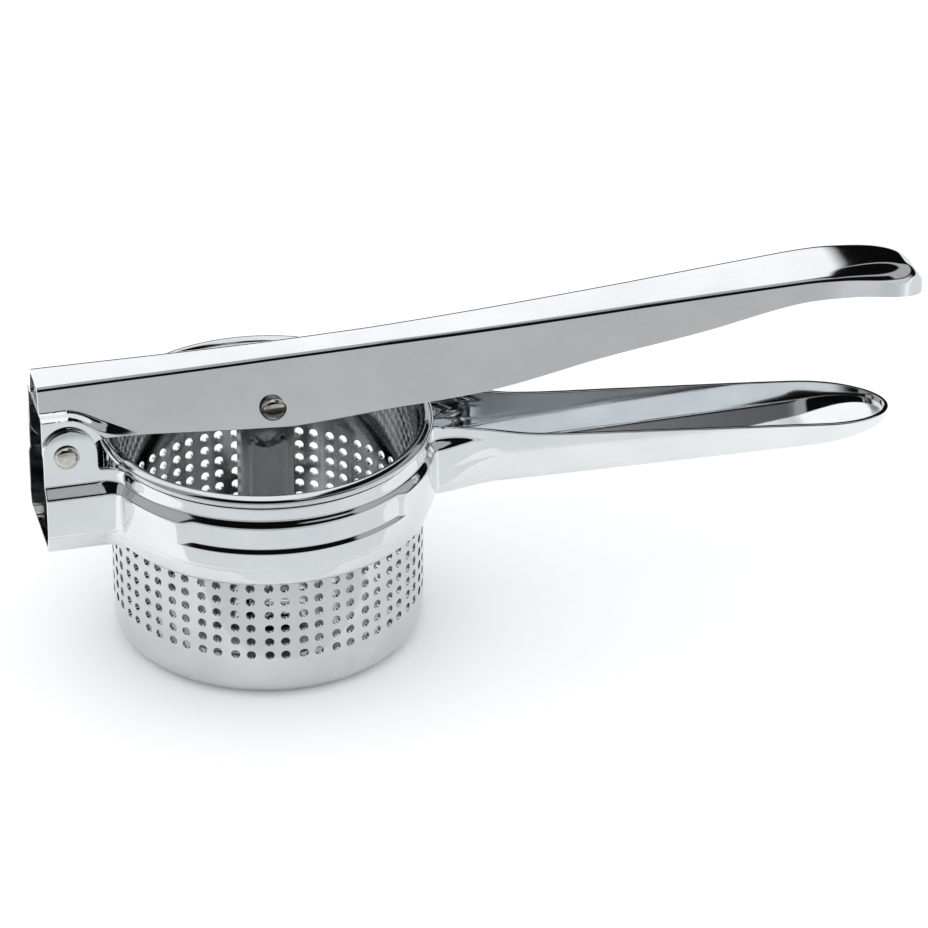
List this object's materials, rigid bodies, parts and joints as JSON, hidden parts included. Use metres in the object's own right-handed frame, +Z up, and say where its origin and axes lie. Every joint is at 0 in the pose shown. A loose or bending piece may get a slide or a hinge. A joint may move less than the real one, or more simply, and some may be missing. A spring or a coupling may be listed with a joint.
{
  "type": "potato ricer",
  "caption": "Hand press with a hinged lever, a pivoting plunger and a loose perforated basket held in a ring with a channel handle.",
  "frame": {"origin": "centre of the basket's flat bottom", "axes": "+X along the handles, away from the hinge; +Y to the back; +Z up, out of the basket's mouth"},
  "size_m": [0.2446, 0.091, 0.0899],
  "materials": {
    "chromed_frame": "mirror chrome plate",
    "chromed_lever": "mirror chrome plate",
    "polished_basket": "polished, satin inside",
    "polished_plunger": "polished",
    "rivets": "semi-bright"
  },
  "bodies": {
    "frame_body": {"frame": "chromed_frame", "hinge_pin": "rivets", "hinge_sleeve": "rivets"},
    "lever_body": {"lever": "chromed_lever", "plunger_pin": "rivets", "plunger_sleeve": "rivets"},
    "plunger_body": {"stem": "polished_plunger", "plunger_disc": "polished_plunger", "disc_rivet_1": "rivets", "disc_rivet_2": "rivets", "disc_rivet_3": "rivets", "disc_rivet_4": "rivets"},
    "basket_body": {"basket": "polished_basket"}
  },
  "joints": [
    {"name": "lever_hinge", "type": "hinge", "parent": "frame_body", "child": "lever_body", "pos_m": [-0.0557, 0, 0.0644], "axis": [0, -1, 0], "range_deg": [-1, 65]},
    {"name": "plunger_pivot", "type": "hinge", "parent": "lever_body", "child": "plunger_body", "pos_m": [0.0004, 0, 0.0694], "axis": [0, -1, 0], "range_deg": [-36, 1]},
    {"name": "basket_turn", "type": "hinge", "parent": "frame_body", "child": "basket_body", "pos_m": [0, 0, 0], "axis": [0, 0, 1], "continuous": true}
  ],
  "couplings": [
    {"joint": "plunger_pivot", "follows": "lever_hinge", "ratio": -0.55}
  ]
}
